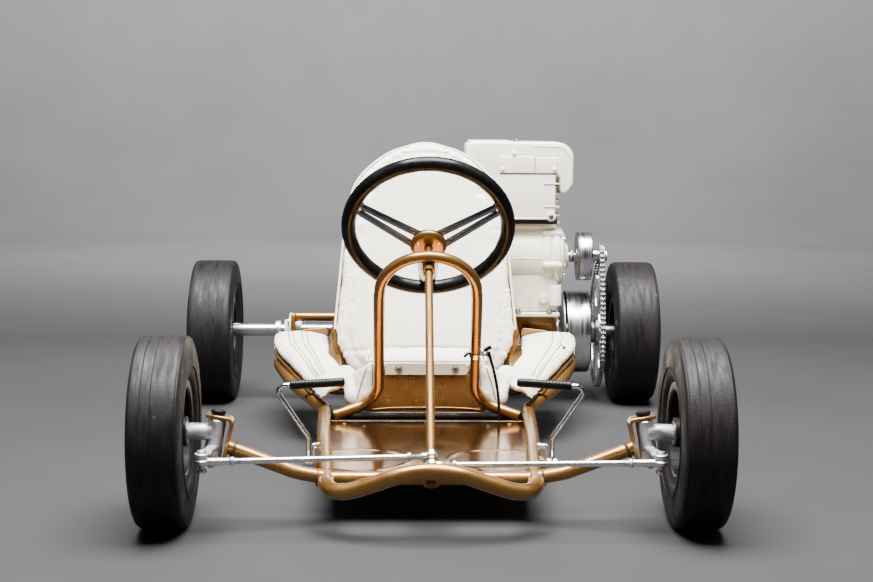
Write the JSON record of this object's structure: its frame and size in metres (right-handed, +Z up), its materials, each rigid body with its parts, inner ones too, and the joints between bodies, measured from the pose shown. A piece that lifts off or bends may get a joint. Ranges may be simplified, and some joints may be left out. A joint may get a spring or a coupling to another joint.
{
  "type": "kart chassis",
  "caption": "Small racing kart: tube frame with bucket seat, steering linkage, side-mounted engine, chain-driven rear axle and slick tyres.",
  "frame": {"origin": "middle of the kart's footprint, on the ground", "axes": "the kart faces -Y, +X is the driver's left, +Z up"},
  "size_m": [0.932, 1.291, 0.5275],
  "materials": {
    "gold_paint": "metallic gold enamel",
    "white_paint": "warm white enamel",
    "white_vinyl": "white upholstery vinyl, stitched",
    "steel": "zinc plated",
    "chrome": "polished",
    "cast_aluminium": "as cast",
    "tyre_rubber": "slick, scuffed",
    "black_plastic": "moulded grip"
  },
  "bodies": {
    "frame": {"main_frame": "gold_paint", "front_bumper": "gold_paint", "steering_hoop": "gold_paint", "floor_pan": "gold_paint", "seat_base": "gold_paint", "seat_back_shell": "gold_paint", "seat_back_cushion": "white_vinyl", "seat_cushion": "white_vinyl", "side_wing_left": "gold_paint", "side_wing_right": "gold_paint", "wing_pad_left": "white_vinyl", "wing_pad_right": "white_vinyl", "seat_front_strip": "white_paint", "rear_bearing_left": "cast_aluminium", "rear_bearing_right": "cast_aluminium", "engine_mount": "gold_paint", "crankcase": "white_paint", "side_cover": "white_paint", "cylinder": "white_paint", "cylinder_head": "white_paint", "blower_shroud": "white_paint", "fuel_tank": "white_paint", "fuel_cap": "chrome", "carburettor": "cast_aluminium", "air_cleaner": "cast_aluminium", "silencer": "steel", "spark_plug": "white_paint", "recoil_housing": "white_paint", "drive_chain": "steel", "hoop_clamp": "steel", "throttle_cable": "black_plastic", "kingpin_left": "steel", "kingpin_right": "steel"},
    "steering": {"steering_shaft": "gold_paint", "steering_hub": "gold_paint", "steering_spokes": "chrome", "steering_rim": "black_plastic"},
    "tie_rod_left": {"tie_rod_left": "steel"},
    "tie_rod_right": {"tie_rod_right": "steel"},
    "spindle_left": {"spindle_left": "cast_aluminium"},
    "spindle_right": {"spindle_right": "cast_aluminium"},
    "front_wheel_left": {"tyre_front_left": "tyre_rubber", "wheel_front_left": "cast_aluminium"},
    "front_wheel_right": {"tyre_front_right": "tyre_rubber", "wheel_front_right": "cast_aluminium"},
    "rear_axle": {"rear_axle": "steel", "tyre_rear_left": "tyre_rubber", "tyre_rear_right": "tyre_rubber", "wheel_rear_left": "cast_aluminium", "wheel_rear_right": "cast_aluminium", "axle_sprocket": "steel", "brake_drum": "chrome"},
    "crank": {"crankshaft": "steel", "flywheel": "cast_aluminium"},
    "clutch": {"clutch_drum": "chrome"},
    "throttle_pedal": {"throttle_pedal": "chrome", "throttle_grip": "black_plastic"},
    "brake_pedal": {"brake_pedal": "chrome", "brake_grip": "black_plastic"},
    "starter": {"starter_handle": "black_plastic"}
  },
  "joints": [
    {"name": "steering_turn", "type": "hinge", "parent": "frame", "child": "steering", "pos_m": [0, -0.5347, 0.0681], "axis": [0, 0.8156, 0.5787], "range_deg": [-28, 28]},
    {"name": "tie_rod_left_swing", "type": "hinge", "parent": "steering", "child": "tie_rod_left", "pos_m": [0, -0.56727, 0.10017], "axis": [0, 0.8291, 0.5591], "range_deg": [-29, 29]},
    {"name": "tie_rod_right_swing", "type": "hinge", "parent": "steering", "child": "tie_rod_right", "pos_m": [0, -0.55422, 0.10943], "axis": [0, 0.8291, 0.5591], "range_deg": [-29, 29]},
    {"name": "kingpin_left_turn", "type": "hinge", "parent": "frame", "child": "spindle_left", "pos_m": [0.303, -0.5105, 0.126], "axis": [-0.1465, 0, 0.9892], "range_deg": [-21, 21]},
    {"name": "kingpin_right_turn", "type": "hinge", "parent": "frame", "child": "spindle_right", "pos_m": [-0.303, -0.5105, 0.126], "axis": [0.1465, 0, 0.9892], "range_deg": [-21, 21]},
    {"name": "front_wheel_left_spin", "type": "hinge", "parent": "spindle_left", "child": "front_wheel_left", "pos_m": [0.3735, -0.5105, 0.135], "axis": [1, 0, 0], "continuous": true},
    {"name": "front_wheel_right_spin", "type": "hinge", "parent": "spindle_right", "child": "front_wheel_right", "pos_m": [-0.3735, -0.5105, 0.135], "axis": [1, 0, 0], "continuous": true},
    {"name": "rear_axle_spin", "type": "hinge", "parent": "frame", "child": "rear_axle", "pos_m": [0, 0.5055, 0.14], "axis": [1, 0, 0], "continuous": true},
    {"name": "clutch_spin", "type": "hinge", "parent": "frame", "child": "clutch", "pos_m": [0, 0.4535, 0.297], "axis": [1, 0, 0], "continuous": true},
    {"name": "crank_spin", "type": "hinge", "parent": "frame", "child": "crank", "pos_m": [0, 0.4535, 0.297], "axis": [1, 0, 0], "continuous": true},
    {"name": "throttle_press", "type": "hinge", "parent": "frame", "child": "throttle_pedal", "pos_m": [-0.172, -0.4505, 0.078], "axis": [1, 0, 0], "range_deg": [0, 22], "stiffness_Nm_per_rad": 0.3, "springref_deg": -34.38},
    {"name": "brake_press", "type": "hinge", "parent": "frame", "child": "brake_pedal", "pos_m": [0.172, -0.4505, 0.078], "axis": [1, 0, 0], "range_deg": [0, 22], "stiffness_Nm_per_rad": 0.3, "springref_deg": -34.38},
    {"name": "starter_pull", "type": "slide", "parent": "frame", "child": "starter", "axis": [0, 0.94, 0.3412], "range_m": [0, 0.45], "stiffness_N_per_m": 6, "springref_m": -0.05}
  ],
  "couplings": [
    {"joint": "tie_rod_left_swing", "follows": "steering_turn", "ratio": -1.0033},
    {"joint": "tie_rod_right_swing", "follows": "steering_turn", "ratio": -1.0033},
    {"joint": "kingpin_left_turn", "follows": "steering_turn", "ratio": 0.718},
    {"joint": "kingpin_right_turn", "follows": "steering_turn", "ratio": 0.718},
    {"joint": "clutch_spin", "follows": "rear_axle_spin", "ratio": 6}
  ]
}
